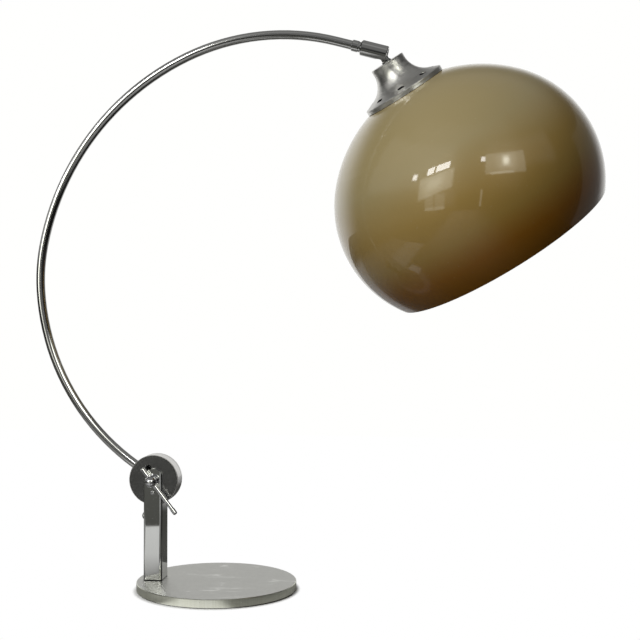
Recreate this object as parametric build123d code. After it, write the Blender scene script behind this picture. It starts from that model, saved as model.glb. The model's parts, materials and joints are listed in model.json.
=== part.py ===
from build123d import *
from math import acos, asin, cos, degrees, radians, sin, sqrt
import os

os.makedirs("parts", exist_ok=True)

# An arc table lamp in millimetres. The origin is the centre of the underside, +Z is up, +X points
# from the post to the shade and the clamp handle is on the -Y side. The pose is the one shown.

# Round base
base_radius = 88.0
plate_thickness = 9.0
plate_chamfer = 0.6
felt_thickness = 1.0
felt_inset = 2.0

# Forked post
post_x = -69.4
post_width = 21.0
post_depth = 28.0
post_corner = 3.0
pivot_height = 120.5
cheek_shoulder = 6.0
cheek_rise = 12.8

# Screws of the post
foot_screw_radius = 2.5
foot_screw_head_radius = 5.0
foot_screw_head_height = 2.6
foot_screw_spacing = 16.0
foot_screw_reach = 12.0
foot_socket_radius = 1.5
foot_socket_depth = 2.0
side_screw_height = 80.7
side_screw_offset = 7.1
side_screw_radius = 2.0
side_screw_reach = 8.0
side_screw_head_radius = 3.9
side_screw_head_height = 2.8
stop_radius = 13.2
stop_screw_radius = 1.4
stop_screw_head_radius = 2.4
stop_screw_head_height = 1.6
stop_screw_tip = 1.6
side_screw_slot = 0.8
stop_screw_socket_radius = 1.2
stop_screw_socket_depth = 1.2

# Drum that the arm is fixed in
drum_radius = 27.5
drum_thickness = 20.4
drum_chamfer = 0.4
drum_hole_radius = 2.9
drum_hole_depth = 5.0
drum_hole_chamfer = 0.4
drum_hole_x = -5.7
drum_hole_y = 13.5
stop_groove_depth = 2.2
swing_back = 30.0
swing_forward = 20.0

# Clamp screw, its washer, its nut and its sliding bar
bolt_radius = 4.0
bolt_end = 2.0
washer_radius = 7.6
washer_thickness = 1.6
hub_radius = 5.4
hub_length = 5.7
hub_ball_radius = 6.4
hub_chamfer = 0.4
nut_across_flats = 13.0
nut_height = 6.5
nut_corner = 1.0
bar_radius = 2.2
bar_level = 3.2
bar_angle = -52.0
bar_short_side = 17.6
bar_long_side = 45.0
long_tip_radius = 2.6
long_tip_length = 7.0
long_tip_round = 2.0
short_tip_radius = 2.8
short_tip_length = 2.6
short_tip_round = 1.0

# Arm: a tube bent in four tangent arcs, of which the last one ends at the droop
arm_radius = 5.0
arm_wall = 1.0
arm_seat = 11.0
arm_exit_angle = 145.8
arm_droop = 15.0
first_bend_radius = 252.0
first_bend_turn = 52.4
second_bend_radius = 200.0
second_bend_turn = 14.2
third_bend_radius = 288.0
third_bend_turn = 54.6
last_bend_radius = 246.0
arm_tail = 27.3
grub_along = 14.6
grub_radius = 2.0
grub_socket_radius = 1.2
grub_socket_depth = 2.0
outlet_along = 21.0
outlet_radius = 2.0
bushing_wall = 0.9
bushing_flange = 1.1
bushing_flange_height = 1.0
bushing_depth = 4.0

# Swivel at the end of the arm
collar_radius = 6.2
collar_length = 9.5
collar_neck_radius = 5.6
collar_neck_length = 1.9
collar_chamfer = 0.5
barrel_radius = 8.4
barrel_length = 30.0
barrel_wall = 1.7
barrel_back_chamfer = 1.3
barrel_front_chamfer = 0.8
ball_along = 22.4
ball_radius = 6.45
barrel_lip = 0.95
back_ring_length = 4.1
spigot_flange = 2.5
spigot_length = 13.0
spigot_bore = 2.6
spring_count = 4
spring_cone = 0.6
spring_gauge = 0.5
cup_length = 5.0
cup_lip = 0.9
wire_bore = 3.2
swivel_turn = 18.3
stem_angle = 44.3
stem_angle_min = 20.0
stem_angle_max = 90.0
swivel_stop = 165.0

# Stem under the ball
neck_radius = 4.4
stem_bore = 2.5
stem_reach = 12.3
stem_collar_radius = 5.5
stem_collar_height = 1.7
stem_collar_cone = 0.7
thread_radius = 5.0
stem_thread_length = 14.0

# Cap over the shade
cap_top_radius = 19.4
cap_straight = 5.0
cap_flare_radius = 25.5
cap_flare_turn = 70.0
cap_rim_radius = 46.7
cap_rim_band = 5.0
cap_rim_wall = 3.0
cap_height = 38.1
cap_wall = 2.0
cap_top_thickness = 2.5
cap_edge = 0.5
vent_count = 8
vent_length = 8.4
vent_width = 4.4
vent_circle = 37.8
vent_start_angle = -81.3

# Shade: a crown arc runs on into a side arc, and the mouth is cut square to the axis
crown_radius = 161.0
side_radius = 127.0
crown_turn = 46.0
shade_depth = 207.4
shade_wall = 3.0
shade_hole_radius = 40.0
gasket_thickness = 0.5

# Pieces that hold the shade and the lampholder
sleeve_radius = 7.0
sleeve_length = 15.0
sleeve_chamfer = 0.6
hex_across_flats = 14.0
hex_height = 4.0
hex_corner = 1.0
nipple_bore = 3.5
nipple_into_holder = 9.0
carrier_radius = 46.0
carrier_thickness = 1.5
carrier_flat_radius = 41.0
carrier_vents = 6
carrier_vent_radius = 5.5
carrier_vent_circle = 24.0

# Lampholder and bulb with the common 27 mm screw
dome_neck_radius = 8.5
dome_neck_length = 5.0
dome_slope = 8.0
dome_skirt = 6.0
dome_edge = 1.0
dome_corner = 1.5
holder_radius = 20.5
holder_wall = 2.0
holder_length = 32.0
grip_ring_height = 0.8
grip_ring_width = 3.2
grip_ring_drops = (4.8, 16.0, 28.8)
insert_thickness = 9.0
terminal_radius = 2.6
terminal_length = 5.0
terminal_sink = 0.6
terminal_slot = 0.7
terminal_spacing = 19.0
contact_radius = 3.0
contact_height = 1.6
screw_shell_radius = 13.2
screw_shell_wall = 0.6
screw_shell_length = 22.0
bulb_cap_length = 25.0
bulb_tip_radius = 4.5
bulb_tip_height = 1.6
bulb_cap_bevel = 3.0
bulb_cap_step = 1.0
bulb_glass_radius = 30.0
bulb_length = 105.0
bulb_neck_radius = 14.6
bulb_glass_wall = 1.0
bulb_neck_bend = 40.0

# Clearances
thread_gap = 0.05
running_gap = 0.08
cheek_gap = 0.3
saddle_gap = 0.5
clamp_gap = 0.1
stop_gap = 0.3
ball_gap = 0.25
swivel_gap = 0.3
seat_gap = 0.1

# How far a cut runs past the face that it starts from or leaves by
past = 1.0

# Sizes worked out from the driving ones
base_top = felt_thickness + plate_thickness
post_top = pivot_height + cheek_rise
front_face = post_depth / 2
slot_width = drum_thickness + 2 * cheek_gap
saddle_radius = drum_radius + saddle_gap
bolt_hole_radius = bolt_radius + running_gap
washer_front = front_face + clamp_gap + washer_thickness
hub_back = washer_front + clamp_gap
bar_height = hub_back + bar_level
arm_bore = arm_radius - arm_wall
outlet_hole_radius = outlet_radius + bushing_wall
last_bend_turn = arm_exit_angle + arm_droop - first_bend_turn - second_bend_turn - third_bend_turn
barrel_bore = barrel_radius - barrel_wall
tube_end = back_ring_length + swivel_gap
cup_front = ball_along - sqrt((ball_radius + ball_gap) ** 2 - wire_bore ** 2) + cup_lip
cup_back = cup_front - cup_length
crown_apex = -cap_height - gasket_thickness + crown_radius - sqrt(crown_radius ** 2 - cap_rim_radius ** 2)
crown_centre = crown_apex - crown_radius
side_centre_r = (crown_radius - side_radius) * sin(radians(crown_turn))
side_centre_z = crown_centre + (crown_radius - side_radius) * cos(radians(crown_turn))
shade_mouth = crown_apex - shade_depth
carrier_top = crown_centre + sqrt((crown_radius - shade_wall) ** 2 - carrier_flat_radius ** 2) - seat_gap
carrier_nut_top = carrier_top - carrier_thickness
holder_top = carrier_nut_top - hex_height - 2 * seat_gap
dome_bottom = holder_top - dome_neck_length - dome_slope - dome_skirt
nipple_end = holder_top - nipple_into_holder
insert_top = holder_top - dome_neck_length - dome_slope - holder_wall
insert_bottom = insert_top - insert_thickness
contact_bottom = insert_bottom - contact_height
bulb_top = contact_bottom - seat_gap
bulb_neck_top = bulb_top - bulb_cap_length
bulb_centre = bulb_top - bulb_length + bulb_glass_radius


def rod(radius, low, high):
    """A round bar about the Z axis between two heights."""
    return Pos(0, 0, low) * Cylinder(radius, high - low, align=(Align.CENTER, Align.CENTER, Align.MIN))


def ring(outer, inner, low, high):
    """A round bar about the Z axis with a round bore right through it."""
    return rod(outer, low, high) - rod(inner, low - past, high + past)


def turned(*edges):
    """A body turned about the Z axis from a closed outline of edges in radius and height."""
    return revolve(Plane.XZ * make_face(edges), Axis.Z)


def turned_points(*points):
    """A body turned about the Z axis from the corners of its outline in radius and height."""
    return turned(Polyline(*points, close=True))


def hexagon(across_flats, corner, bore, low, high):
    """A hexagon nut with both ends turned down at its corners."""
    nut = extrude(Pos(0, 0, low) * RegularPolygon(across_flats / sqrt(3), 6), high - low)
    reach = across_flats / 2 + corner
    cone = turned_points(
        (0, low), (reach - corner, low), (reach, low + corner / 2),
        (reach, high - corner / 2), (reach - corner, high), (0, high),
    )
    return (nut & cone) - rod(bore, low - past, high + past)


def domed_screw(head_radius, head_height, shank_radius, reach):
    """A screw with a domed head on the plane z = 0 and its shank below it."""
    rim = head_height / 3
    rise = head_height - rim
    dome_radius = (head_radius ** 2 + rise ** 2) / (2 * rise)
    edge_angle = degrees(acos(head_radius / dome_radius))
    dome = turned(
        Polyline((0, head_height), (0, 0), (head_radius, 0), (head_radius, rim)),
        CenterArc((0, head_height - dome_radius), dome_radius, edge_angle, 90 - edge_angle),
    )
    return dome + rod(shank_radius, -reach, 0)


# Places. Each one turns a piece that is built about its own Z axis into the lamp.
pivot_place = Pos(post_x, 0, pivot_height) * Rot(90, 0, 0)
arm_out = Vector(cos(radians(arm_exit_angle)), sin(radians(arm_exit_angle)))
bar_place = pivot_place * Pos(0, 0, bar_height) * Rot(0, 0, bar_angle) * Rot(0, 90, 0)


def arm_line():
    """The arm's centre line in the plane of the drum: a straight seat, four tangent bends and a tail."""
    bends = (
        (first_bend_radius, first_bend_turn),
        (second_bend_radius, second_bend_turn),
        (third_bend_radius, third_bend_turn),
        (last_bend_radius, last_bend_turn),
    )
    line = [Line(arm_out * arm_seat, arm_out * drum_radius)]
    for radius, turn in bends:
        line.append(JernArc(line[-1] @ 1, line[-1] % 1, radius, -turn))
    tail_start = line[-1] @ 1
    line.append(Line(tail_start, tail_start + (line[-1] % 1) * (arm_tail + tube_end)))
    return line


def swivel_centre():
    """The point on the arm's axis where the swivel barrel begins."""
    tail = arm_line()[-1]
    return (tail @ 1) - (tail % 1) * tube_end


swivel_start = swivel_centre()
arm_end_place = pivot_place * Pos(swivel_start.X, swivel_start.Y, 0) * Rot(0, 0, -arm_droop) * Rot(0, 90, 0)
# In the barrel's place +Z runs out along the arm's axis and +X points out of its slot.
barrel_place = arm_end_place * Rot(0, 0, swivel_turn - 90)


def foot_screw_places():
    """The two screws that come up through the plate into the post."""
    return [Pos(post_x, side * foot_screw_spacing / 2, felt_thickness) for side in (-1, 1)]


def base_plate():
    """A thick steel disc with a fine chamfer and two countersunk holes from below."""
    plate = rod(base_radius, felt_thickness, base_top)
    plate = chamfer(plate.edges().filter_by(GeomType.CIRCLE), plate_chamfer)
    hole_radius = foot_screw_radius + thread_gap
    sink = turned_points(
        (0, 0),
        (foot_screw_head_radius + seat_gap, 0),
        (hole_radius, foot_screw_head_height + seat_gap),
        (hole_radius, plate_thickness + past),
        (0, plate_thickness + past),
    )
    for place in foot_screw_places():
        plate -= place * sink
    return plate


def base_felt():
    """A felt disc under the plate, set in from its edge."""
    return rod(base_radius - felt_inset, 0, felt_thickness)


def foot_screws():
    """Two countersunk screws with a hexagon socket, as one group."""
    reach = plate_thickness + foot_screw_reach
    screw = turned_points(
        (0, 0),
        (foot_screw_head_radius, 0),
        (foot_screw_radius, foot_screw_head_height),
        (foot_screw_radius, reach),
        (0, reach),
    )
    screw -= extrude(RegularPolygon(foot_socket_radius, 6), foot_socket_depth)
    return Compound(children=[place * screw for place in foot_screw_places()])


def post_outline():
    """The post seen from the front: straight sides under a rounded top."""
    half = post_width / 2
    shoulder = pivot_height + cheek_shoulder
    sides = Polyline((-half, shoulder), (-half, base_top), (half, base_top), (half, shoulder))
    top = ThreePointArc((half, shoulder), (0, post_top), (-half, shoulder))
    return make_face([sides, top])


def post():
    """A bar with rounded corners, forked at its top round the drum and hollowed to a saddle under it."""
    bar = extrude(
        Pos(0, 0, base_top) * RectangleRounded(post_width, post_depth, post_corner), post_top - base_top
    )
    outline = extrude(Plane.XZ * post_outline(), post_depth, both=True)
    body = Pos(post_x, 0, 0) * (bar & outline)
    slot = rod(saddle_radius, -slot_width / 2, slot_width / 2)
    slot += Pos(0, saddle_radius, 0) * Box(2 * saddle_radius, 2 * saddle_radius, slot_width)
    body -= pivot_place * slot
    body -= pivot_place * rod(bolt_hole_radius, -post_depth, post_depth)
    stop_hole = Pos(0, -stop_radius, 0) * rod(stop_screw_radius + thread_gap, 0, post_depth)
    body -= pivot_place * stop_hole
    for place in foot_screw_places():
        body -= place * rod(foot_screw_radius + thread_gap, 0, plate_thickness + foot_screw_reach + past)
    body -= side_screw_place() * rod(side_screw_radius + thread_gap, -side_screw_reach - past, past)
    return body


def side_screw_place():
    """A place on the post's side that faces away from the shade, near its front."""
    return Pos(post_x - post_width / 2, -side_screw_offset, side_screw_height) * Rot(0, -90, 0)


def side_screw():
    """A slotted domed screw in the side of the post."""
    screw = domed_screw(side_screw_head_radius, side_screw_head_height, side_screw_radius, side_screw_reach)
    slot = Box(2 * side_screw_head_radius, side_screw_slot, side_screw_head_height)
    return side_screw_place() * (screw - Pos(0, 0, side_screw_head_height) * slot)


def stop_screw():
    """A small socket screw through the front cheek, whose tip stands in the drum's stop groove."""
    reach = front_face - slot_width / 2 + stop_screw_tip
    screw = domed_screw(stop_screw_head_radius, stop_screw_head_height, stop_screw_radius, reach)
    socket_floor = Pos(0, 0, stop_screw_head_height - stop_screw_socket_depth)
    screw -= extrude(socket_floor * RegularPolygon(stop_screw_socket_radius, 6), stop_screw_head_height)
    return pivot_place * Pos(0, -stop_radius, front_face) * screw


def clamp_nut():
    """The nut behind the rear cheek that the clamp screw pulls on."""
    nut = hexagon(nut_across_flats, nut_corner, bolt_radius + thread_gap, -nut_height, 0)
    return pivot_place * Pos(0, 0, -front_face) * nut


def clamp_washer():
    """The thrust washer between the front cheek and the hub of the clamp screw."""
    low = front_face + clamp_gap
    body = ring(washer_radius, bolt_hole_radius, low, low + washer_thickness)
    return pivot_place * chamfer(body.edges().sort_by(Axis.Z)[-1], washer_thickness / 4)


def clamp_screw():
    """A bolt through both cheeks and the drum, with a short hub that ends in a ball."""
    ball_centre = hub_back + hub_length
    body = rod(bolt_radius, -front_face - nut_height - bolt_end, hub_back)
    hub = rod(hub_radius, hub_back, ball_centre)
    body += chamfer(hub.edges().filter_by(GeomType.CIRCLE).sort_by(Axis.Z)[0], hub_chamfer)
    body += Pos(0, 0, ball_centre) * Sphere(hub_ball_radius)
    hole = rod(bar_radius + running_gap, -hub_ball_radius - past, hub_ball_radius + past)
    return pivot_place * body - bar_place * hole


def tommy_bar():
    """The bar that slides through the ball of the clamp screw."""
    return bar_place * rod(bar_radius, short_tip_length - bar_short_side, bar_long_side - long_tip_length)


def bar_tip(radius, length, round_over):
    """A rounded ferrule that stands on the plane z = 0."""
    body = rod(radius, 0, length)
    return fillet(body.edges().sort_by(Axis.Z)[-1], round_over)


def bar_tip_long():
    """The ferrule on the longer side of the bar."""
    tip = bar_tip(long_tip_radius, long_tip_length, long_tip_round)
    return bar_place * Pos(0, 0, bar_long_side - long_tip_length) * tip


def bar_tip_short():
    """The button on the shorter side of the bar."""
    tip = bar_tip(short_tip_radius, short_tip_length, short_tip_round)
    return bar_place * Pos(0, 0, short_tip_length - bar_short_side) * Rot(180, 0, 0) * tip


def stop_groove():
    """An arc groove in the drum's front face, as long as the swing that the stop screw allows."""
    half = stop_screw_radius + stop_gap
    start = -90 - swing_back
    sweep_angle = swing_back + swing_forward
    middle = CenterArc((0, 0), stop_radius, start, sweep_angle)
    outline = SlotArc(middle, 2 * half)
    return extrude(Pos(0, 0, drum_thickness / 2 - stop_groove_depth) * outline, stop_groove_depth + past)


def drum():
    """The disc between the cheeks: bored for the clamp screw and, from its rim, for the arm."""
    half = drum_thickness / 2
    body = rod(drum_radius, -half, half)
    body = chamfer(body.edges().filter_by(GeomType.CIRCLE), drum_chamfer)
    body -= rod(bolt_hole_radius, -drum_thickness, drum_thickness)
    arm_socket = rod(arm_radius + thread_gap, arm_seat, 2 * drum_radius)
    body -= Rot(0, 0, arm_exit_angle) * Rot(0, 90, 0) * arm_socket
    body -= Pos(arm_out * outlet_along) * rod(outlet_hole_radius + thread_gap, -drum_thickness, 0)
    body -= Pos(arm_out * grub_along) * rod(grub_radius + thread_gap, -drum_thickness, 0)
    blind_hole = turned_points(
        (0, half - drum_hole_depth),
        (drum_hole_radius, half - drum_hole_depth),
        (drum_hole_radius, half - drum_hole_chamfer),
        (drum_hole_radius + drum_hole_chamfer + past, half + past),
        (0, half + past),
    )
    body -= Pos(drum_hole_x, drum_hole_y, 0) * blind_hole
    body -= stop_groove()
    return pivot_place * body


def arm_tube():
    """The bent tube, with a hole at its seat where the cord leaves."""
    path = Wire([edge.edge() for edge in arm_line()])
    section = Circle(arm_radius) - Circle(arm_bore)
    start = Plane(origin=path @ 0, z_dir=path % 0)
    body = sweep(start * section, path=path)
    body -= Pos(arm_out * outlet_along) * rod(outlet_hole_radius, -2 * arm_radius, 0)
    return pivot_place * body


def tube_grub_screw():
    """The headless screw in the back of the drum that holds the tube in its seat."""
    half = drum_thickness / 2
    body = rod(grub_radius, -half, -arm_radius - seat_gap)
    body -= Pos(0, 0, -half) * extrude(RegularPolygon(grub_socket_radius, 6), grub_socket_depth)
    return pivot_place * Pos(arm_out * grub_along) * body


def cord_bushing():
    """A flanged plastic bush in the outlet at the back of the drum."""
    half = drum_thickness / 2
    body = ring(outlet_hole_radius + bushing_flange, outlet_radius, -half - bushing_flange_height, -half)
    body += ring(outlet_hole_radius, outlet_radius, -half, -half + bushing_depth)
    return pivot_place * Pos(arm_out * outlet_along) * body


def arm_collar():
    """The turned ferrule on the arm just before the swivel."""
    low = -swivel_gap - collar_length
    neck = -swivel_gap - collar_neck_length
    body = ring(collar_radius, arm_radius + thread_gap, low, neck)
    outer = body.edges().filter_by(GeomType.CIRCLE).filter_by(lambda e: e.radius > collar_neck_radius)
    body = chamfer(outer, collar_chamfer)
    body += ring(collar_neck_radius, arm_radius + thread_gap, neck, -swivel_gap)
    return arm_end_place * body


def swivel_spigot():
    """The flanged bush in the end of the arm that keeps the barrel on."""
    body = rod(barrel_bore - swivel_gap, tube_end, tube_end + spigot_flange)
    body += rod(arm_bore - thread_gap, tube_end - spigot_length, tube_end)
    return arm_end_place * (body - rod(spigot_bore, -spigot_length, spigot_length))


def swivel_barrel():
    """A sleeve with a ball seat at its open end and a slot that lets the stem tilt."""
    body = rod(barrel_radius, 0, barrel_length)
    body = chamfer(body.edges().sort_by(Axis.Z)[0], barrel_back_chamfer)
    body = chamfer(body.edges().filter_by(GeomType.CIRCLE).sort_by(Axis.Z)[-1], barrel_front_chamfer)
    body -= rod(barrel_bore, -past, ball_along)
    body -= Pos(0, 0, ball_along) * Sphere(barrel_bore)
    body -= rod(barrel_bore - barrel_lip, ball_along, barrel_length + past)
    half = neck_radius + swivel_gap
    run = barrel_length - ball_along + past
    slot = Pos(0, -half, 0) * Box(2 * barrel_radius, 2 * half, run, align=(Align.MIN, Align.MIN, Align.MIN))
    slot += Rot(0, 90, 0) * rod(half, 0, 2 * barrel_radius)
    body -= Pos(0, 0, ball_along) * slot
    return barrel_place * body


def barrel_back_ring():
    """The ring in the back of the barrel that runs on the tube behind the spigot's flange."""
    return barrel_place * ring(barrel_bore - thread_gap, arm_radius + running_gap, 0, back_ring_length)


def disc_springs():
    """Conical spring washers, stacked face to face and back to back, as one group."""
    outer = barrel_bore - swivel_gap
    pitch = spring_cone + spring_gauge + seat_gap / 2
    low = cup_back - seat_gap - spring_count * pitch
    washers = []
    for place in range(spring_count):
        z = low + place * pitch
        rise_inside, rise_outside = (0, spring_cone) if place % 2 == 0 else (spring_cone, 0)
        washers.append(turned_points(
            (wire_bore, z + rise_inside),
            (outer, z + rise_outside),
            (outer, z + rise_outside + spring_gauge),
            (wire_bore, z + rise_inside + spring_gauge),
        ))
    return Compound(children=[barrel_place * washer for washer in washers])


def friction_cup():
    """The cup that the springs press against the ball."""
    body = ring(barrel_bore - thread_gap, wire_bore, cup_back, cup_front)
    body -= Pos(0, 0, ball_along) * Sphere(ball_radius + ball_gap)
    return barrel_place * body


# In the head's place +Z runs up the shade's axis and z = 0 is the top of the cap.
ball_place = barrel_place * Pos(0, 0, ball_along) * Rot(0, stem_angle - 180, 0)
head_place = ball_place * Pos(0, 0, -stem_reach)


def ball_stem():
    """The bored ball, its neck, the collar that stands on the cap and the threaded end inside it."""
    body = turned_points(
        (0, stem_reach),
        (neck_radius, stem_reach),
        (neck_radius, stem_collar_height + stem_collar_cone),
        (stem_collar_radius, stem_collar_height),
        (stem_collar_radius, 0),
        (thread_radius, 0),
        (thread_radius, -stem_thread_length),
        (0, -stem_thread_length),
    )
    body += Pos(0, 0, stem_reach) * Sphere(ball_radius)
    return head_place * (body - rod(stem_bore, -2 * stem_thread_length, stem_reach + 2 * ball_radius))


def crown_height(radius, inset=0):
    """The height of the shade's crown at a radius, or of a face that lies inside it."""
    return crown_centre + sqrt((crown_radius - inset) ** 2 - radius ** 2)


def cap():
    """A turned trumpet: a straight top, a flare, a sloping flange with vents and a plain rim band."""
    flare_r = cap_top_radius + cap_flare_radius
    flare_end = 180 + cap_flare_turn
    flare_z = -cap_straight
    flare = CenterArc((flare_r, flare_z), cap_flare_radius, 180, cap_flare_turn)
    inner_flare = CenterArc((flare_r, flare_z), cap_flare_radius + cap_wall, flare_end, -cap_flare_turn)
    rim_top = (cap_rim_radius - cap_edge, cap_rim_band - cap_height)
    rim_inner = cap_rim_radius - cap_rim_wall
    slope = (rim_top[1] - (flare @ 1).Y) / (rim_top[0] - (flare @ 1).X)
    under_flange = (inner_flare @ 0).Y + slope * (rim_inner - (inner_flare @ 0).X)
    seat = crown_height(rim_inner) + gasket_thickness
    body = turned(
        Polyline(
            (thread_radius + thread_gap, 0),
            (cap_top_radius - cap_edge, 0),
            (cap_top_radius, -cap_edge),
            flare @ 0,
        ),
        flare,
        Polyline(
            flare @ 1,
            rim_top,
            (cap_rim_radius, rim_top[1] - cap_edge),
            (cap_rim_radius, -cap_height),
            (rim_inner, seat),
            (rim_inner, under_flange),
            inner_flare @ 0,
        ),
        inner_flare,
        Polyline(
            inner_flare @ 1,
            (cap_top_radius - cap_wall, -cap_top_thickness),
            (thread_radius + thread_gap, -cap_top_thickness),
            (thread_radius + thread_gap, 0),
        ),
    )
    slot = Rot(0, 0, 90) * SlotOverall(vent_length, vent_width)
    vent = extrude(Pos(0, 0, under_flange - past) * slot, -cap_straight - under_flange + past)
    for place in PolarLocations(vent_circle, vent_count, vent_start_angle):
        body -= place * vent
    return head_place * body


def cap_gasket():
    """A thin ring between the cap's rim and the shade."""
    inner = cap_rim_radius - cap_rim_wall
    outer = cap_rim_radius - cap_edge
    body = turned_points(
        (inner, crown_height(inner) + seat_gap),
        (outer, crown_height(outer) + seat_gap),
        (outer, crown_height(outer) + gasket_thickness - seat_gap),
        (inner, crown_height(inner) + gasket_thickness - seat_gap),
    )
    return head_place * body


def wall_arcs(inset):
    """The crown and side arcs of one face of the shade's wall, from its hole to its mouth."""
    crown = crown_radius - inset
    side = side_radius - inset
    hole_angle = degrees(acos(shade_hole_radius / crown))
    join_angle = 90 - crown_turn
    mouth_angle = degrees(asin((shade_mouth - side_centre_z) / side))
    return (
        CenterArc((0, crown_centre), crown, hole_angle, join_angle - hole_angle),
        CenterArc((side_centre_r, side_centre_z), side, join_angle, mouth_angle - join_angle),
    )


def shade():
    """The open bowl: two tangent arcs turned about the axis, with an even wall."""
    outer_crown, outer_side = wall_arcs(0)
    inner_crown, inner_side = wall_arcs(shade_wall)
    body = turned(
        outer_crown,
        outer_side,
        Line(outer_side @ 1, inner_side @ 1),
        inner_side,
        inner_crown,
        Line(inner_crown @ 0, outer_crown @ 0),
    )
    return head_place * body


def cap_lock_nut():
    """The nut inside the cap that clamps it against the stem's collar."""
    top = -cap_top_thickness
    bore = thread_radius + thread_gap
    return head_place * hexagon(hex_across_flats, hex_corner, bore, top - hex_height, top)


def coupling_sleeve():
    """The sleeve that joins the stem's threaded end to the nipple."""
    top = -cap_top_thickness - hex_height - 2 * seat_gap
    body = ring(sleeve_radius, thread_radius + thread_gap, top - sleeve_length, top)
    bore = thread_radius + thread_gap
    outer = body.edges().filter_by(GeomType.CIRCLE).filter_by(lambda e: e.radius > bore)
    return head_place * chamfer(outer, sleeve_chamfer)


def nipple_tube():
    """The threaded tube from the sleeve down through the carrier into the lampholder."""
    return head_place * ring(thread_radius, nipple_bore, nipple_end, -stem_thread_length - seat_gap)


def shade_carrier():
    """The pressed plate that holds the shade up against the cap, with holes for the rising air."""
    edge_z = crown_height(carrier_radius, shade_wall) - seat_gap
    body = turned_points(
        (thread_radius + thread_gap, carrier_top),
        (carrier_flat_radius, carrier_top),
        (carrier_radius, edge_z),
        (carrier_radius, edge_z - carrier_thickness),
        (carrier_flat_radius, carrier_top - carrier_thickness),
        (thread_radius + thread_gap, carrier_top - carrier_thickness),
    )
    vent = rod(carrier_vent_radius, carrier_top - carrier_thickness - past, carrier_top + past)
    for place in PolarLocations(carrier_vent_circle, carrier_vents):
        body -= place * vent
    return head_place * body


def carrier_nut():
    """The nut under the carrier."""
    top = carrier_nut_top
    bore = thread_radius + thread_gap
    return head_place * hexagon(hex_across_flats, hex_corner, bore, top - hex_height, top)


def holder_dome():
    """The top half of the lampholder, screwed on to the nipple."""
    neck_low = holder_top - dome_neck_length
    slope_low = neck_low - dome_slope
    inner = holder_radius - holder_wall
    body = turned_points(
        (thread_radius + thread_gap, holder_top),
        (dome_neck_radius - dome_edge, holder_top),
        (dome_neck_radius, holder_top - dome_edge),
        (dome_neck_radius, neck_low),
        (holder_radius - dome_corner, slope_low),
        (holder_radius, slope_low - dome_corner),
        (holder_radius, dome_bottom),
        (inner, dome_bottom),
        (inner, slope_low - dome_corner),
        (dome_neck_radius - dome_edge, neck_low - holder_wall),
        (thread_radius + thread_gap, neck_low - holder_wall),
    )
    return head_place * body


def holder_shell():
    """The lower half of the lampholder, with three raised rings to grip it by."""
    low = dome_bottom - holder_length
    inner = holder_radius - holder_wall
    body = ring(holder_radius - grip_ring_height, inner, low, dome_bottom)
    for drop in grip_ring_drops:
        middle = dome_bottom - drop
        body += ring(holder_radius, inner, middle - grip_ring_width / 2, middle + grip_ring_width / 2)
    return head_place * body


def holder_insert():
    """The ceramic block that carries the contacts, with two terminal holes."""
    body = rod(holder_radius - holder_wall - seat_gap, insert_bottom, insert_top)
    for side in (-1, 1):
        hole = rod(terminal_radius + seat_gap, insert_top - terminal_length, insert_top + past)
        body -= Pos(side * terminal_spacing / 2, 0, 0) * hole
    return head_place * body


def terminal_screws():
    """The two brass terminal screws in the insert, as one group."""
    high = insert_top - terminal_sink
    screw = rod(terminal_radius, insert_top - terminal_length, high)
    screw -= Pos(0, 0, high) * Box(2 * terminal_radius, terminal_slot, 2 * terminal_slot)
    places = [Pos(side * terminal_spacing / 2, 0, 0) for side in (-1, 1)]
    return Compound(children=[head_place * place * screw for place in places])


def holder_screw_shell():
    """The brass thread sleeve that the bulb screws into."""
    inner = screw_shell_radius + seat_gap
    low = insert_bottom - screw_shell_length
    return head_place * ring(inner + screw_shell_wall, inner, low, insert_bottom)


def holder_contact():
    """The centre contact under the insert."""
    return head_place * rod(contact_radius, contact_bottom, insert_bottom)


def bulb_cap():
    """The bulb's screw cap with its insulated tip."""
    shoulder = bulb_top - bulb_tip_height
    body = turned_points(
        (0, bulb_top),
        (bulb_tip_radius, bulb_top),
        (bulb_tip_radius, shoulder),
        (screw_shell_radius - bulb_cap_bevel, shoulder - bulb_cap_step),
        (screw_shell_radius, shoulder - bulb_cap_step - bulb_cap_bevel),
        (screw_shell_radius, bulb_neck_top),
        (0, bulb_neck_top),
    )
    return head_place * body


def glass_outline(inset):
    """One face of the bulb's glass: a neck, a bend tangent to it and the ball, from neck to tip."""
    neck = bulb_neck_radius - inset
    ball = bulb_glass_radius - inset
    bend = bulb_neck_bend + inset
    bend_r = neck + bend
    drop = sqrt((ball + bend) ** 2 - bend_r ** 2)
    bend_z = bulb_centre + drop
    turn = degrees(acos(bend_r / (ball + bend)))
    top = bulb_neck_top - inset
    return [
        Line((0, top), (neck, top)),
        Line((neck, top), (neck, bend_z)),
        CenterArc((bend_r, bend_z), bend, 180, turn),
        CenterArc((0, bulb_centre), ball, turn, -90 - turn),
        Line((0, bulb_centre - ball), (0, top)),
    ]


def bulb_glass():
    """The hollow glass of the bulb."""
    return head_place * (turned(*glass_outline(0)) - turned(*glass_outline(bulb_glass_wall)))


pieces = (
    base_plate, base_felt, foot_screws, post, side_screw, stop_screw, clamp_nut, clamp_washer,
    clamp_screw, tommy_bar, bar_tip_long, bar_tip_short, drum, arm_tube, tube_grub_screw,
    cord_bushing, arm_collar, swivel_spigot, swivel_barrel, barrel_back_ring, disc_springs,
    friction_cup, ball_stem, cap, cap_lock_nut, coupling_sleeve, nipple_tube, cap_gasket, shade,
    shade_carrier, carrier_nut, holder_dome, holder_shell, holder_insert, terminal_screws,
    holder_screw_shell, holder_contact, bulb_cap, bulb_glass,
)
for piece in pieces:
    export_step(piece(), f"parts/{piece.__name__}.step")


def point(place, x=0, y=0, z=0):
    """A point of a place in the lamp's frame."""
    return (place * Pos(x, y, z)).position


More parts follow.
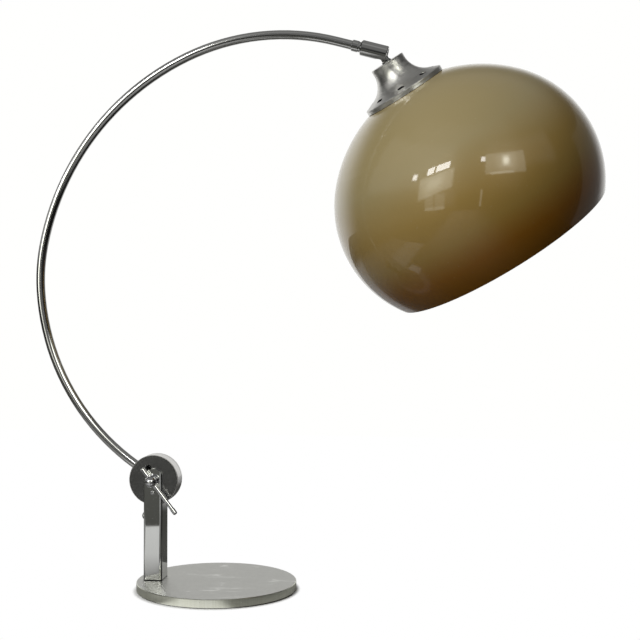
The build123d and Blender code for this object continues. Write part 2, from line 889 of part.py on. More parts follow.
def direction(place, x, y, z):
    """A direction of a place in the lamp's frame."""
    return point(place, x, y, z) - point(place)


def report(name, vector):
    """Prints three numbers after a name."""
    print(name, " ".join(f"{value:.5f}" for value in (vector.X, vector.Y, vector.Z)))


report("pivot", point(pivot_place))
report("swivel start", point(barrel_place))
report("swivel axis", direction(barrel_place, 0, 0, 1))
report("ball centre", point(ball_place))
report("tilt axis", direction(ball_place, 0, 1, 0))
report("shade axis down", direction(head_place, 0, 0, -1))
report("bar axis", direction(bar_place, 0, 0, 1))
bar_room = hub_ball_radius + stop_gap
bar_up = bar_short_side - short_tip_length - bar_room
print("bar slides", bar_room + long_tip_length - bar_long_side, bar_up)
print("swivel turns", -swivel_stop - swivel_turn, swivel_stop - swivel_turn)
print("stem tilts", stem_angle_min - stem_angle, stem_angle_max - stem_angle)
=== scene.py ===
"""The looks of an arc table lamp: its finishes, a pale floor, soft studio light and the camera."""
import json
import math

import bpy
import numpy as np
from mathutils import Matrix, Vector

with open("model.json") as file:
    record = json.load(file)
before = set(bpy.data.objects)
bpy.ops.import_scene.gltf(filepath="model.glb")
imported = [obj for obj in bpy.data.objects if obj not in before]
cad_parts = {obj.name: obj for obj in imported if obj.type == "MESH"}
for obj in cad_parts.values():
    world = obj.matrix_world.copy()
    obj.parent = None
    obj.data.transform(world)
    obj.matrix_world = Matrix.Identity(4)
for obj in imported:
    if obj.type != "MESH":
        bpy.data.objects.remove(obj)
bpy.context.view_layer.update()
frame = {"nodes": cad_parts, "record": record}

# Angles of the lamp at rest, from which the axes of its parts are worked out
ARM_DROOP = math.radians(15.0)
BARREL_TURN = math.radians(18.3)
STEM_TILT = math.radians(44.3)

JOINTS = {joint["name"]: joint for joint in frame["record"]["behaviour"]["joints"]}


def unit(vector):
    """A vector scaled to a length of one."""
    return np.asarray(vector, float) / np.linalg.norm(vector)


barrel_axis = np.array([math.cos(ARM_DROOP), 0.0, -math.sin(ARM_DROOP)])
slot_down = np.array([
    -math.sin(ARM_DROOP) * math.cos(BARREL_TURN),
    math.sin(BARREL_TURN),
    -math.cos(ARM_DROOP) * math.cos(BARREL_TURN),
])
shade_down = unit(math.cos(STEM_TILT) * barrel_axis + math.sin(STEM_TILT) * slot_down)
bar_axis = unit(JOINTS["bar_slide"]["axis"])
pivot = np.array(JOINTS["arm_swing"]["pos_m"])
ball_centre = np.array(JOINTS["head_tilt"]["pos_m"])
barrel_start = np.array(JOINTS["barrel_swivel"]["pos_m"])


def axis_frame(origin, axis):
    """The matrix that takes lamp coordinates to a part's own, with its axis as Z and its origin at zero."""
    z = unit(axis)
    x = unit(np.cross([0.0, 1.0, 0.0] if abs(z[1]) < 0.9 else [1.0, 0.0, 0.0], z))
    y = np.cross(z, x)
    turn = Matrix([x, y, z])
    return Matrix.Translation(-(turn @ Vector(origin))) @ turn.to_4x4()


UPRIGHT = Matrix.Identity(4)
HEAD = axis_frame(ball_centre, -shade_down)
BARREL = axis_frame(barrel_start, barrel_axis)
DRUM = axis_frame(pivot, (0.0, -1.0, 0.0))
BAR = axis_frame(pivot, bar_axis)


def own_extent(node, place):
    """A piece's largest radius about its part's axis, and its lowest and highest place along that axis."""
    mesh = frame["nodes"][node].data
    points = np.empty(3 * len(mesh.vertices), np.float32)
    mesh.vertices.foreach_get("co", points)
    points = points.reshape(-1, 3) @ np.array(place.to_3x3()).T + np.array(place.translation)
    radii = np.hypot(points[:, 0], points[:, 1])
    return float(radii.max()), float(points[:, 2].min()), float(points[:, 2].max())


BASE_RADIUS, _, BASE_TOP = own_extent("base_plate", UPRIGHT)
DRUM_RADIUS, DRUM_BACK, _ = own_extent("drum", DRUM)
CAP_RIM_RADIUS, CAP_FOOT, CAP_TOP = own_extent("cap", HEAD)
_, SHADE_MOUTH, SHADE_TOP = own_extent("shade", HEAD)

# The rims of the base and the drum take over between these two distances from their edge
BASE_RIM_BLEND = (-0.0008, -0.0004)
DRUM_RIM_BLEND = (-0.001, -0.0004)

# The hole in the drum's face, painted black as shade, and the dark line near the back of its rim
HOLE_DOWN = -0.0135
HOLE_ACROSS = -0.0057
HOLE_RADIUS = 0.0029
HOLE_BLEND = (0.00002, 0.00012)
LINE_PLACE = DRUM_BACK + 0.004
LINE_BLEND = (0.0009, 0.0014)

# The cap's profile, from its top down
CAP_TOP_RADIUS = 0.0194
CAP_STRAIGHT = 0.005
CAP_FLARE_RADIUS = 0.0255
CAP_FLARE_TURN = math.radians(70.0)
CAP_RIM_BAND = 0.005
CAP_EDGE = 0.0005

# How deep under the cap's flare, slope and top its painted black shade begins, and where flare and slope end
FLARE_BLACK = (0.0006, 0.0012)
SLOPE_BLACK = (0.0005, 0.0009)
TOP_BLACK = (0.0008, 0.0014)
FLARE_END = (-0.0002, 0.0004)
SLOPE_END = (-0.0016, -0.001)

# The cap's vents
VENT_COUNT = 8
VENT_TURN = math.radians(40.0)
VENT_CIRCLE = 0.0378
VENT_LENGTH = 0.0084
VENT_WIDTH = 0.0044
VENT_BLEND = (0.00002, 0.00006)

# Heights over the base between which the post's painted shade towards its foot and the painted shadow line at
# its foot fade out
FOOT_SHADE_FADE = (0.006, 0.032)
FOOT_SHADOW_FADE = (0.0008, 0.0011)

# The scale of the shade's colours starts this far below its top and spans this share of its height. Its
# darkening from olive to russet is painted shade
COLOUR_START = 0.003
COLOUR_SHARE = 0.85

# How much a pattern is squeezed along each axis. A low number draws it out into lines
EVEN = (1.0, 1.0, 1.0)
DRAWN_OUT = (1.0, 1.0, 0.02)
LESS_DRAWN_OUT = (1.0, 1.0, 0.05)

# The sockets of a Mix node that take its factor and two colours, and the one that gives the mixed colour
MIX_FACTOR = 0
MIX_FIRST = 6
MIX_SECOND = 7
MIX_RESULT = 2


class Value:
    """A number that varies from spot to spot. Plain arithmetic on it adds Math nodes to its tree."""

    def __init__(self, tree, socket):
        self.tree = tree
        self.socket = socket

    def __add__(self, other):
        return self.tree.math("ADD", self, other)

    __radd__ = __add__

    def __sub__(self, other):
        return self.tree.math("SUBTRACT", self, other)

    def __rsub__(self, other):
        return self.tree.math("SUBTRACT", other, self)

    def __mul__(self, other):
        return self.tree.math("MULTIPLY", self, other)

    __rmul__ = __mul__

    def __truediv__(self, other):
        return self.tree.math("DIVIDE", self, other)

    def __pow__(self, other):
        return self.tree.math("POWER", self, other)

    def __abs__(self):
        return self.tree.math("ABSOLUTE", self)


def hypotenuse(first, second):
    """The root of the sum of two squares."""
    return (first * first + second * second) ** 0.5


class Tree:
    """A node tree, with one method that adds any kind of node."""

    def __init__(self, graph):
        self.graph = graph

    def add(self, kind, settings=(), inputs=(), output=0):
        """Adds a node, with its settings and the values or links of its sockets, and returns an output."""
        node = self.graph.nodes.new(kind)
        for name, value in dict(settings).items():
            if name == "stops":
                self.set_stops(node.color_ramp, value)
            else:
                setattr(node, name, value)
        for name, value in dict(inputs).items():
            self.feed(node.inputs[name], value)
        return Value(self, node.outputs[output])

    def set_stops(self, ramp, stops):
        """Gives a ramp its stops, each a place and a colour."""
        while len(ramp.elements) < len(stops):
            ramp.elements.new(1.0)
        for element, (place, colour) in zip(ramp.elements, stops):
            element.position = place
            element.color = (*colour, 1.0)

    def feed(self, socket, value):
        """Links a varying value to a socket, or writes a constant in it. A constant colour is opaque."""
        if isinstance(value, Value):
            self.graph.links.new(value.socket, socket)
        elif socket.type == "RGBA":
            socket.default_value = (*value, 1.0)
        else:
            socket.default_value = value

    def math(self, operation, first, second=0.0):
        """One sum of two numbers, of which either may vary."""
        return self.add("ShaderNodeMath", {"operation": operation}, {0: first, 1: second})

    def mix(self, factor, first, second):
        """A colour between two, by a factor from 0 to 1."""
        inputs = {MIX_FACTOR: factor, MIX_FIRST: first, MIX_SECOND: second}
        return self.add("ShaderNodeMix", {"data_type": "RGBA"}, inputs, MIX_RESULT)

    def fade(self, value, low, high, start, end):
        """A smooth change from start, at or below low, to end, at or above high."""
        return self.add(
            "ShaderNodeMapRange",
            {"interpolation_type": "SMOOTHSTEP"},
            {"Value": value, "From Min": low, "From Max": high, "To Min": start, "To Max": end},
        )

    def above(self, value, low, high):
        """A smooth step up, 0 below low and 1 above high."""
        return self.fade(value, low, high, 0.0, 1.0)

    def below(self, value, low, high):
        """A smooth step down, 1 below low and 0 above high."""
        return self.fade(value, low, high, 1.0, 0.0)

    def between(self, value, low, high, soft):
        """1 between low and high and 0 outside them, with edges that fade over soft to each side."""
        return self.above(value, low - soft, low + soft) * self.below(value, high - soft, high + soft)

    def parts(self, vector):
        """The X, Y and Z of a vector."""
        first = self.add("ShaderNodeSeparateXYZ", {}, {0: vector})
        return [Value(self, output) for output in first.socket.node.outputs]


class Finish(Tree):
    """A material on the principled shader, whose patterns lie in the frame of the part that wears it."""

    def __init__(self, name, place=UPRIGHT, **constants):
        self.material = bpy.data.materials.new(name)
        self.material.use_nodes = True
        super().__init__(self.material.node_tree)
        self.shader = self.graph.nodes["Principled BSDF"]
        for socket, value in constants.items():
            self.feed(self.shader.inputs[socket.replace("_", " ")], value)
        here = self.add("ShaderNodeTexCoord", output="Object")
        self.spot = self.add(
            "ShaderNodeMapping",
            {"vector_type": "POINT"},
            {"Vector": here, "Location": place.to_translation(), "Rotation": place.to_euler("XYZ")},
        )

    def stretched(self, x, y, z):
        """The part's coordinates, scaled on each axis."""
        return self.add("ShaderNodeMapping", {}, {"Vector": self.spot, "Scale": (x, y, z)})

    def noise(self, scale, detail=3.0, roughness=0.55, stretch=EVEN, distortion=0.0):
        """A noise from 0 to 1, so many waves to the metre."""
        return self.add(
            "ShaderNodeTexNoise",
            {},
            {
                "Vector": self.stretched(*stretch),
                "Scale": scale,
                "Detail": detail,
                "Roughness": roughness,
                "Distortion": distortion,
            },
            "Fac",
        )

    def from_axis(self):
        """The distance from the part's Z axis, in metres."""
        x, y, _ = self.parts(self.spot)
        return hypotenuse(x, y)

    def along(self):
        """The height along the part's Z axis, in metres."""
        return self.parts(self.spot)[2]

    def scratches(self, scale, stretch, amount):
        """Sparse fine lines: the thin crests of a long stretched noise."""
        lines = self.noise(scale, 2.0, 0.6, stretch, 0.4)
        return self.above(lines, 1.0 - amount, 1.0)

    def relief(self, height, distance, strength=1.0):
        """Feeds a height from 0 to 1 to the shader's normal as a bump so many metres deep."""
        inputs = {"Height": height, "Distance": distance, "Strength": strength}
        self.feed(self.shader.inputs["Normal"], self.add("ShaderNodeBump", {}, inputs))

    def spread_along(self, axis, amount):
        """Leans the normal to and fro along an axis from ring to fine ring, which draws out highlights."""
        faced = self.add("ShaderNodeNewGeometry", output="Normal")
        axis = self.add(
            "ShaderNodeVectorTransform",
            {"vector_type": "VECTOR", "convert_from": "OBJECT", "convert_to": "WORLD"},
            {"Vector": tuple(float(part) for part in axis)},
        )
        lean = (self.noise(3500.0, 2.0, 0.6, (0.01, 0.01, 1.0)) - 0.5) * amount
        leant = self.add("ShaderNodeVectorMath", {"operation": "SCALE"}, {0: axis, "Scale": lean})
        leant = self.add("ShaderNodeVectorMath", {"operation": "ADD"}, {0: faced, 1: leant})
        leant = self.add("ShaderNodeVectorMath", {"operation": "NORMALIZE"}, {0: leant})
        self.feed(self.shader.inputs["Normal"], leant)

    def colour(self, value):
        """Feeds the base colour."""
        self.feed(self.shader.inputs["Base Color"], value)

    def roughness(self, value):
        """Feeds the roughness."""
        self.feed(self.shader.inputs["Roughness"], value)

    def blacken(self, where):
        """Paints a metal finish a dull black where a factor is 1, as painted shade."""
        shown = self.shader.inputs["Base Color"].links[0].from_socket
        self.colour(self.mix(where, Value(self, shown), (0.006, 0.006, 0.006)))
        self.feed(self.shader.inputs["Metallic"], 1.0 - where)


def polished_plate(name, place, stretch, tint=(0.66, 0.66, 0.65), dull=1.0, foot=None):
    """Polished plating with faint lines, a haze of marks, dull specks and, where it has a foot, painted shade
    towards the foot and a painted shadow line at it.
    """
    finish = Finish(name, place, Metallic=1.0, Specular_IOR_Level=0.5)
    haze = finish.noise(55.0, 4.0)
    drawn = finish.noise(600.0, 2.0, 0.6, stretch)
    specks = finish.above(finish.noise(900.0, 2.0), 0.68, 0.76)
    finish.roughness(dull * (0.04 + 0.05 * haze + 0.04 * drawn) + 0.25 * specks)
    worn = tuple(0.86 * part for part in tint)
    plate = finish.mix(0.35 * haze + 0.4 * specks, tint, worn)
    if foot is not None:
        # Painted shade: the plating darkens towards its foot, with a painted shadow line where it meets the
        # base
        height = finish.along() - foot
        painted_foot_shade = finish.below(height, *FOOT_SHADE_FADE)
        plate = finish.mix(painted_foot_shade * (0.35 + 0.3 * haze), plate, (0.2, 0.2, 0.19))
        plate = finish.mix(finish.below(height, *FOOT_SHADOW_FADE), plate, (0.01, 0.01, 0.01))
    finish.colour(plate)
    finish.relief(drawn, 0.00001, 0.3)
    return finish.material


def ground_base():
    """The base: a ground top with cloudy patches, crossing lines and pale scuffs, and a rim tinged olive as a
    painted reflection.
    """
    finish = Finish("ground_base", Metallic=1.0)
    clouds = finish.noise(32.0, 4.0, 0.6)
    grain = finish.noise(380.0, 4.0, 0.65, (1.0, 0.25, 1.0))
    lines = finish.scratches(240.0, (0.08, 1.0, 1.0), 0.3)
    across = finish.scratches(200.0, (1.0, 0.1, 1.0), 0.28)
    scuffs = finish.above(finish.noise(75.0, 3.0, 0.6, (0.35, 1.0, 1.0), 0.8), 0.6, 0.74)
    top = finish.mix(clouds, (0.44, 0.44, 0.42), (0.66, 0.66, 0.63))
    top = finish.mix(0.4 * lines + 0.3 * across, top, (0.4, 0.4, 0.38))
    top = finish.mix(0.5 * scuffs, top, (0.8, 0.8, 0.78))
    nicks = finish.noise(500.0, 3.0, 0.6, (1.0, 1.0, 0.05))
    # Painted reflection: the rim's olive tinge
    side = finish.mix(nicks, (0.62, 0.63, 0.52), (0.84, 0.85, 0.76))
    rim = finish.above(finish.from_axis() - BASE_RADIUS, *BASE_RIM_BLEND)
    finish.colour(finish.mix(rim, top, side))
    finish.roughness(0.33 + 0.1 * clouds + 0.08 * grain - 0.08 * scuffs - rim * 0.1)
    finish.relief(grain + 0.6 * lines + rim * nicks, 0.00006, 0.5)
    return finish.material


def turned_finish(name, place, tint, pitch, dull):
    """The finish of a turned metal, of fine rings under a soft haze, and how its rings rise and fall."""
    finish = Finish(name, place, Metallic=1.0)
    haze = finish.noise(40.0, 3.0)
    rings = finish.math("SINE", (finish.along() + finish.from_axis()) * (2 * math.pi / pitch))
    fine = finish.noise(2000.0, 2.0, 0.6, (0.02, 0.02, 1.0))
    cut = 0.5 + 0.2 * rings + 0.7 * (fine - 0.5)
    light = tuple(min(1.0, 1.06 * part) for part in tint)
    dark = tuple(0.84 * part for part in tint)
    finish.colour(finish.mix(0.55 * haze + 0.3 * cut, light, dark))
    finish.roughness(dull + 0.1 * haze + 0.07 * cut)
    return finish, cut


def turned_metal(name, place, tint, pitch, dull):
    """A turned metal with its rings in relief."""
    finish, cut = turned_finish(name, place, tint, pitch, dull)
    finish.relief(cut, 0.00003)
    return finish.material


def under_cap_skin(finish):
    """1 under the cap's skin, which runs down a hollow arc and then a straight slope to the rim."""
    down = CAP_TOP - finish.along()
    out = finish.from_axis()
    arc_out = CAP_TOP_RADIUS + CAP_FLARE_RADIUS
    arc_end_out = arc_out - CAP_FLARE_RADIUS * math.cos(CAP_FLARE_TURN)
    arc_end_down = CAP_STRAIGHT + CAP_FLARE_RADIUS * math.sin(CAP_FLARE_TURN)
    slope_end_out = CAP_RIM_RADIUS - CAP_EDGE
    slope_end_down = CAP_TOP - CAP_FOOT - CAP_RIM_BAND
    fall = (slope_end_down - arc_end_down) / (slope_end_out - arc_end_out)
    under_arc = hypotenuse(out - arc_out, down - CAP_STRAIGHT) - CAP_FLARE_RADIUS
    in_flare = finish.above(under_arc, *FLARE_BLACK) * finish.below(out - arc_end_out, *FLARE_END)
    under_slope = down - arc_end_down - fall * (out - arc_end_out)
    in_slope = finish.above(under_slope, *SLOPE_BLACK) * finish.below(out - slope_end_out, *SLOPE_END)
    return finish.math("MAXIMUM", in_flare, in_slope) * finish.above(down, *TOP_BLACK)


def in_vents(finish):
    """1 in the cap's vents: slots with round ends, set in a ring and square to its radius."""
    x, y, _ = finish.parts(finish.spot)
    out = hypotenuse(x, y)
    turn = finish.math("PINGPONG", finish.math("ARCTAN2", y, x) - VENT_TURN, math.pi / VENT_COUNT)
    past_end = out * finish.math("SINE", turn) - (VENT_LENGTH - VENT_WIDTH) / 2
    beside = out * finish.math("COSINE", turn) - VENT_CIRCLE
    from_middle = hypotenuse(beside, finish.math("MAXIMUM", past_end, 0.0))
    return finish.below(from_middle - VENT_WIDTH / 2, *VENT_BLEND)


def satin_cap():
    """The turned cap: satin outside with fine rings, and painted black as shade inside and in its vents."""
    finish, _ = turned_finish("satin_cap", HEAD, (0.8, 0.79, 0.76), 0.0006, 0.28)
    finish.spread_along(-shade_down, 1.8)
    # Painted shade: the inside of the cap and its vents are painted black
    finish.blacken(finish.math("MAXIMUM", under_cap_skin(finish), in_vents(finish)))
    return finish.material


def brushed_drum():
    """The drum: a dark, faintly streaked face, its hole painted black as shade, and a pale turned rim with a
    dark line.
    """
    finish = Finish("brushed_drum", DRUM, Metallic=1.0)
    rim = finish.above(finish.from_axis() - DRUM_RADIUS, *DRUM_RIM_BLEND)
    streaks = finish.noise(420.0, 4.0, 0.65, (0.1, 1.0, 1.0))
    clouds = finish.noise(45.0, 3.0)
    rings = finish.noise(2600.0, 2.0, 0.6, (0.01, 0.01, 1.0))
    face_tone = finish.mix(0.5 * clouds + 0.5 * streaks, (0.44, 0.44, 0.44), (0.27, 0.27, 0.275))
    rim_tone = finish.mix(rings, (0.78, 0.77, 0.76), (0.64, 0.63, 0.62))
    line = finish.below(abs(finish.along() - LINE_PLACE), *LINE_BLEND)
    rim_tone = finish.mix(0.7 * line, rim_tone, (0.25, 0.25, 0.25))
    finish.colour(finish.mix(rim, face_tone, rim_tone))
    finish.roughness(0.08 + 0.12 * clouds + 0.06 * streaks + rim * (0.08 + 0.12 * rings))
    finish.relief(streaks + rim * rings, 0.00004, 0.5)
    # Painted shade: the hole is painted black
    down, across, _ = finish.parts(finish.spot)
    from_hole = hypotenuse(down - HOLE_DOWN, across - HOLE_ACROSS)
    finish.blacken(finish.below(from_hole - HOLE_RADIUS, *HOLE_BLEND))
    return finish.material


def moulded(name, tint, gloss):
    """Moulded plastic or rubber: a faint grain, a slow change of tone and some dust."""
    finish = Finish(name)
    tone = finish.noise(30.0, 3.0)
    grain = finish.noise(1400.0, 2.0)
    dust = finish.above(finish.noise(700.0, 3.0), 0.62, 0.72)
    lighter = tuple(1.25 * part + 0.01 for part in tint)
    dusty = tuple(0.6 * part + 0.06 for part in tint)
    base = finish.mix(tone, tint, lighter)
    finish.colour(finish.mix(0.5 * dust, base, dusty))
    finish.roughness(gloss + 0.1 * tone + 0.2 * dust)
    finish.relief(grain, 0.00003, 0.5)
    return finish.material


def pressed_felt():
    """Pressed felt: a tangle of short fibres."""
    finish = Finish("pressed_felt", Sheen_Weight=0.3)
    fibres = finish.noise(900.0, 5.0, 0.7, distortion=1.5)
    finish.colour(finish.mix(fibres, (0.02, 0.02, 0.022), (0.07, 0.07, 0.07)))
    finish.roughness(0.85 + 0.1 * fibres)
    finish.relief(fibres, 0.0003, 0.8)
    return finish.material


def unglazed_ceramic():
    """Unglazed ceramic: a pale body with faint pores."""
    finish = Finish("unglazed_ceramic")
    pores = finish.noise(500.0, 3.0)
    finish.colour(finish.mix(pores, (0.74, 0.72, 0.66), (0.84, 0.82, 0.77)))
    finish.roughness(0.55 + 0.2 * pores)
    finish.relief(pores, 0.00008, 0.5)
    return finish.material


def pearl_glass():
    """The bulb's pearl glass: pale, soft and faintly uneven."""
    finish = Finish("pearl_glass", IOR=1.5)
    frost = finish.noise(220.0, 3.0)
    finish.colour(finish.mix(frost, (0.86, 0.86, 0.83), (0.92, 0.92, 0.9)))
    finish.roughness(0.3 + 0.15 * frost)
    return finish.material


def olive_acrylic():
    """Glossy acrylic: olive at the crown, darkening to russet at the mouth as painted shade, with dust,
    hairlines and a slow ripple.
    """
    finish = Finish(
        "olive_acrylic", HEAD, IOR=1.49, Coat_IOR=1.49, Coat_Roughness=0.02, Specular_IOR_Level=0.35
    )
    flow = finish.noise(9.0, 3.0, 0.5, (1.0, 1.0, 0.4))
    dust = finish.above(finish.noise(420.0, 3.0), 0.66, 0.74)
    hairs = finish.scratches(90.0, (1.0, 0.06, 0.3), 0.24)
    ripple = finish.noise(26.0, 1.0, 0.4)
    below_start = SHADE_TOP - COLOUR_START - finish.along() + 0.02 * (flow - 0.5)
    # Painted shade: the colour darkens from olive to russet towards the mouth
    stops = (
        (0.35, (0.35, 0.278, 0.13)),
        (0.62, (0.35, 0.23, 0.065)),
        (0.82, (0.345, 0.215, 0.05)),
        (1.0, (0.34, 0.14, 0.012)),
    )
    depth = below_start / (COLOUR_SHARE * (SHADE_TOP - SHADE_MOUTH))
    base = finish.add("ShaderNodeValToRGB", {"stops": stops}, {"Fac": depth})
    finish.colour(finish.mix(0.1 * dust + 0.08 * hairs, base, (0.5, 0.47, 0.38)))
    finish.feed(finish.shader.inputs["Coat Weight"], 0.9 - 0.5 * dust)
    finish.roughness(0.3 + 0.15 * dust + 0.08 * flow)
    finish.relief(ripple, 0.0004, 0.25)
    return finish.material


STEEL = (0.5, 0.5, 0.49)
BLUED_STEEL = (0.3, 0.31, 0.33)
BRASS = (0.62, 0.44, 0.2)
FINISHES = {
    "base_plate": ground_base(),
    "base_felt": pressed_felt(),
    "post": polished_plate("plated_post", UPRIGHT, DRAWN_OUT, (0.86, 0.87, 0.855), 0.4, BASE_TOP),
    "drum": brushed_drum(),
    "arm_tube": polished_plate("plated_tube", UPRIGHT, EVEN),
    "cap": satin_cap(),
    "shade": olive_acrylic(),
    "cord_bushing": moulded("black_bush", (0.02, 0.02, 0.02), 0.5),
    "cap_gasket": moulded("gasket_rubber", (0.05, 0.04, 0.03), 0.7),
    "holder_insert": unglazed_ceramic(),
    "bulb_glass": pearl_glass(),
}
plated_bar = polished_plate("plated_bar", BAR, DRAWN_OUT, (0.5, 0.5, 0.51), 0.5)
plated_clamp = polished_plate("plated_clamp", DRUM, EVEN, (0.6, 0.6, 0.61), 0.4)
plated_swivel = polished_plate("plated_swivel", BARREL, LESS_DRAWN_OUT, dull=0.4)
screw_steel = turned_metal("screw_steel", UPRIGHT, STEEL, 0.0004, 0.28)
head_steel = turned_metal("head_steel", HEAD, STEEL, 0.0006, 0.3)
head_brass = turned_metal("head_brass", HEAD, BRASS, 0.0006, 0.28)
swivel_brass = turned_metal("swivel_brass", BARREL, BRASS, 0.0005, 0.26)
spring_steel = turned_metal("spring_steel", BARREL, BLUED_STEEL, 0.0005, 0.3)
holder_black = moulded("holder_black", (0.025, 0.02, 0.018), 0.18)
for nodes, material in (
    (("tommy_bar", "bar_tip_long", "bar_tip_short"), plated_bar),
    (("clamp_screw", "clamp_washer", "clamp_nut", "stop_screw"), plated_clamp),
    (("arm_collar", "swivel_barrel", "barrel_back_ring", "ball_stem"), plated_swivel),
    (("foot_screws", "side_screw", "tube_grub_screw"), screw_steel),
    (("cap_lock_nut", "nipple_tube", "shade_carrier", "carrier_nut", "bulb_cap"), head_steel),
    (("coupling_sleeve", "terminal_screws", "holder_screw_shell", "holder_contact"), head_brass),
    (("swivel_spigot", "friction_cup"), swivel_brass),
    (("disc_springs",), spring_steel),
    (("holder_dome", "holder_shell"), holder_black),
):
    for node in nodes:
        FINISHES[node] = material

for node, part in frame["nodes"].items():
    part.data.materials.clear()
    part.data.materials.append(FINISHES[node])


# Camera, fitted to the photograph
CAMERA_PLACE = Vector((0.276518, -1.306903, 0.322073))
CAMERA_YAW = -0.124
CAMERA_PITCH = -0.018
CAMERA_ROLL = 0.005
FOCAL_PIXELS = 1208.15
PICTURE_SIDE = 640.0
FILM_WIDTH = 36.0


def aimed_camera():
    """A camera that looks along a yaw from +Y, a pitch up and a roll about its own line of sight."""
    ahead = Vector((
        math.sin(CAMERA_YAW) * math.cos(CAMERA_PITCH),
        math.cos(CAMERA_YAW) * math.cos(CAMERA_PITCH),
        math.sin(CAMERA_PITCH),
    ))
    level = Vector((math.cos(CAMERA_YAW), -math.sin(CAMERA_YAW), 0.0))
    upright = level.cross(ahead)
    right = level * math.cos(CAMERA_ROLL) + upright * math.sin(CAMERA_ROLL)
    up = right.cross(ahead)
    data = bpy.data.cameras.new("camera")
    data.lens = FOCAL_PIXELS / PICTURE_SIDE * FILM_WIDTH
    data.sensor_width = FILM_WIDTH
    data.clip_end = 50.0
    camera = bpy.data.objects.new("camera", data)
    turn = Matrix((right, up, -ahead)).transposed().to_4x4()
    camera.matrix_world = Matrix.Translation(CAMERA_PLACE) @ turn
    bpy.context.scene.collection.objects.link(camera)
    return camera, ahead


bpy.context.scene.camera, line_of_sight = aimed_camera()

# Half the floor's side, how far past the base its shadow shows, and the floor's tones
FLOOR_REACH = 1.5
SHADOW_REACH = 0.0055
DARK_FLOOR = (0.02, 0.02, 0.018)
DIM_FLOOR = (0.11, 0.11, 0.1)
PALE_FLOOR = (0.9, 0.9, 0.89)


def ground_sheet():
    """A flat square floor: white to the camera but for a shadow round the base, and patchy in mirrors."""
    corners = np.array([(-1, -1, 0), (1, -1, 0), (1, 1, 0), (-1, 1, 0)], float) * FLOOR_REACH
    mesh = bpy.data.meshes.new("floor")
    mesh.from_pydata(corners.tolist(), [], [(0, 1, 2, 3)])
    floor = bpy.data.objects.new("floor", mesh)
    bpy.context.scene.collection.objects.link(floor)
    material = bpy.data.materials.new("pale_floor")
    material.use_nodes = True
    tree = Tree(material.node_tree)
    tree.graph.nodes.remove(tree.graph.nodes["Principled BSDF"])
    x, y, _ = tree.parts(tree.add("ShaderNodeTexCoord", output="Object"))
    from_base = hypotenuse(x, y) - BASE_RADIUS
    to_camera = tree.add("ShaderNodeLightPath", output="Is Camera Ray")

    def stretch(tone, left, right=None, front=None, back=None):
        """A stretch of one tone. Each side is given by the two places between which it fades."""
        shown = tone * tree.above(x, *left)
        if right:
            shown = shown * tree.below(x, *right)
        if front:
            shown = shown * tree.above(y, *front)
        if back:
            shown = shown * tree.below(y, *back)
        return shown

    past_edge = tree.above(y + 0.3 * x, -0.43, -0.418)
    card = past_edge * stretch(1.0, left=(-0.34, -0.2), right=(-0.1, -0.05), back=(-0.1, -0.02))
    left_side = past_edge * stretch(0.35, left=(-0.6, -0.4), right=(-0.25, 0.05))
    right_side = stretch(0.5, left=(-0.1, 0.02), right=(0.25, 0.75), back=(-0.6, 0.0))
    behind = stretch(1.0, left=(-0.65, -0.45), front=(0.45, 0.62))
    ring = 0.38 * tree.below(from_base, 0.022, 0.052)
    # A glowing patch of floor that only mirrors see, which puts a painted glint on the base's rim
    glare = stretch(0.85, left=(-0.055, -0.043), right=(0.023, 0.043), back=(-0.08, -0.05))
    glare = glare * tree.below(from_base, 0.042, 0.072)
    bright = to_camera
    for part in (card, left_side, right_side, ring, behind):
        bright = tree.math("MAXIMUM", bright, part)
    dim = tree.mix(tree.below(x, 0.1, 0.3), DARK_FLOOR, DIM_FLOOR)
    cloth = tree.add("ShaderNodeBsdfDiffuse", {}, {"Color": tree.mix(bright, dim, PALE_FLOOR)}, "BSDF")
    glow = tree.add("ShaderNodeEmission", {}, {"Color": (1.0, 1.0, 1.0), "Strength": 1.0}, "Emission")
    plain = to_camera * tree.above(from_base, 0.0, SHADOW_REACH)
    glowing = tree.math("MAXIMUM", plain, glare - to_camera)
    both = tree.add("ShaderNodeMixShader", {}, {0: glowing, 1: cloth, 2: glow}, "Shader")
    tree.feed(tree.graph.nodes["Material Output"].inputs["Surface"], both)
    mesh.materials.append(material)


ground_sheet()

# Share of the room's light that rough surfaces get, and the climb of the left windows about their middle
ROOM_SHARE = 0.1
WINDOW_CLIMB = 0.33
WINDOW_MIDDLE = -28.0


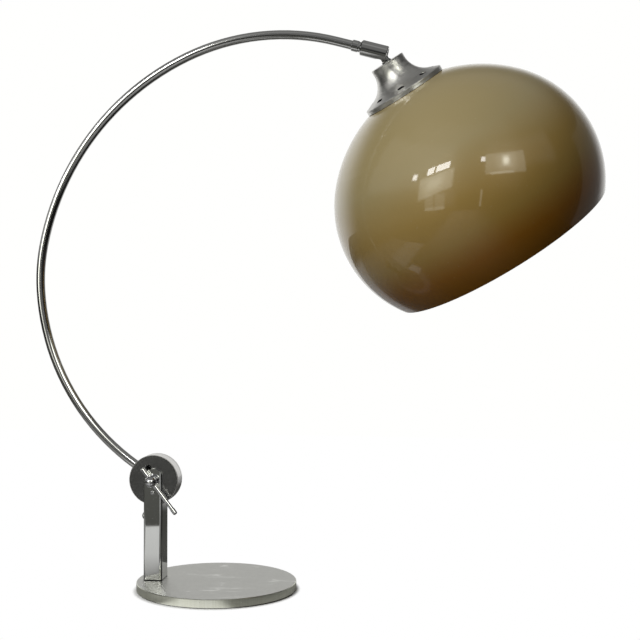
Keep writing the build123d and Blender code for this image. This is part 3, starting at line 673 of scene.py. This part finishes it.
def studio_world():
    """A dim room for the lamp to mirror, with a bright sheet behind and windows. The camera sees white."""
    world = bpy.data.worlds.new("studio")
    world.use_nodes = True
    bpy.context.scene.world = world
    tree = Tree(world.node_tree)
    x, y, z = tree.parts(tree.add("ShaderNodeTexCoord", output="Generated"))
    azimuth = tree.math("ARCTAN2", x, -1.0 * y) * (180.0 / math.pi)
    elevation = tree.math("ARCSINE", z) * (180.0 / math.pi)
    climbing = elevation - WINDOW_CLIMB * (azimuth - WINDOW_MIDDLE)

    def patch(strength, sides, heights, soft, height=elevation):
        """Light between two azimuths, from -Y towards +X, and two heights, in degrees, with soft edges."""
        return strength * tree.between(azimuth, *sides, soft) * tree.between(height, *heights, soft)

    ahead = x * line_of_sight.x + y * line_of_sight.y
    aside = x * line_of_sight.y - y * line_of_sight.x
    sheet = 0.95 * tree.above(ahead - 0.12 * aside, 0.52, 0.88) * tree.below(z, 0.36, 0.74)
    ceiling = 0.2 * tree.above(elevation, 35.0, 60.0)
    front_wall = patch(0.16, (-78.0, 42.0), (0.0, 60.0), 8.0)
    left_wall = patch(0.4, (-95.0, -17.0), (7.0, 43.0), 4.0)
    right_wall = patch(0.3, (12.0, 78.0), (20.0, 42.0), 4.0)
    low_wall = patch(0.3, (-36.0, -12.0), (-12.0, 2.0), 3.0)
    back_wall = patch(0.12, (108.0, 150.0), (-40.0, 30.0), 1.0)
    room = 0.02 + sheet + ceiling + front_wall + left_wall + right_wall + low_wall + back_wall

    left_window = patch(2.4, (-43.0, -15.0), (1.0, 18.5), 1.5, climbing)
    left_glow = patch(2.2, (-37.0, -24.0), (5.0, 15.0), 4.5, climbing)
    low_window = patch(1.0, (-37.5, -30.2), (-13.5, 0.5), 0.7) + patch(1.0, (-28.8, -20.5), (-13.5, 0.5), 0.7)
    low_sill = patch(1.2, (-37.5, -20.5), (-13.8, -10.8), 0.9)
    right_window = patch(1.7, (11.5, 47.0), (14.0, 32.0), 1.0)
    right_glow = patch(1.3, (22.0, 38.0), (17.0, 31.0), 4.0)
    right_sill = patch(2.5, (16.0, 36.0), (13.6, 15.6), 0.7)
    right_spot = patch(12.0, (27.3, 32.0), (21.5, 28.5), 3.2)
    thin_strip = patch(2.0, (8.8, 10.3), (-14.0, 1.0), 0.7)
    lit_left = left_window + left_glow + low_window + low_sill
    lit = lit_left + right_window + right_glow + right_sill + right_spot + thin_strip

    narrow_pane = patch(16.0, (-38.0, -32.5), (20.1, 26.0), 0.5, climbing)
    wide_pane = patch(16.0, (-30.8, -19.5), (20.1, 26.0), 0.5, climbing)
    side_pane = patch(15.0, (-50.5, -46.5), (14.0, 18.5), 1.2)
    right_pane = patch(14.0, (7.5, 11.3), (25.8, 30.0), 0.8)
    panes = narrow_pane + wide_pane + side_pane + right_pane

    to_camera = tree.add("ShaderNodeLightPath", output="Is Camera Ray")
    mirrored = tree.add("ShaderNodeLightPath", output="Is Glossy Ray")
    share = (ROOM_SHARE + (1.0 - ROOM_SHARE) * mirrored) * (1.0 - to_camera)
    red = to_camera + share * (room + 0.99 * lit + panes)
    green = to_camera + share * (room + lit + panes)
    blue = 0.99 * to_camera + share * (0.98 * room + 0.88 * lit + panes)
    seen = tree.add("ShaderNodeCombineColor", {}, {"Red": red, "Green": green, "Blue": blue})
    tree.feed(tree.graph.nodes["Background"].inputs["Color"], seen)


studio_world()

# The soft lamps' side, how far off they stand and the place that they face
LAMP_SIDE = 1.8
LAMP_DISTANCE = 2.4
LAMP_TARGET = Vector((0.26, 0.0, 0.45))


def soft_lamp(name, azimuth, elevation, radiance):
    """A wide lamp that isn't mirrored, by its direction in degrees, from -Y towards +X and up."""
    side = math.radians(azimuth)
    rise = math.radians(elevation)
    towards = Vector((math.sin(side) * math.cos(rise), -math.cos(side) * math.cos(rise), math.sin(rise)))
    data = bpy.data.lights.new(name, "AREA")
    data.shape = "SQUARE"
    data.size = LAMP_SIDE
    data.energy = radiance * math.pi * LAMP_SIDE ** 2
    lamp = bpy.data.objects.new(name, data)
    lamp.visible_glossy = False
    lamp.location = LAMP_TARGET + towards * LAMP_DISTANCE
    lamp.rotation_euler = towards.to_track_quat("Z", "Y").to_euler()
    bpy.context.scene.collection.objects.link(lamp)


soft_lamp("front_left", -32.0, 35.0, 4.9)
soft_lamp("back_fill", 160.0, 40.0, 1.2)

bpy.context.scene.view_settings.view_transform = "Standard"
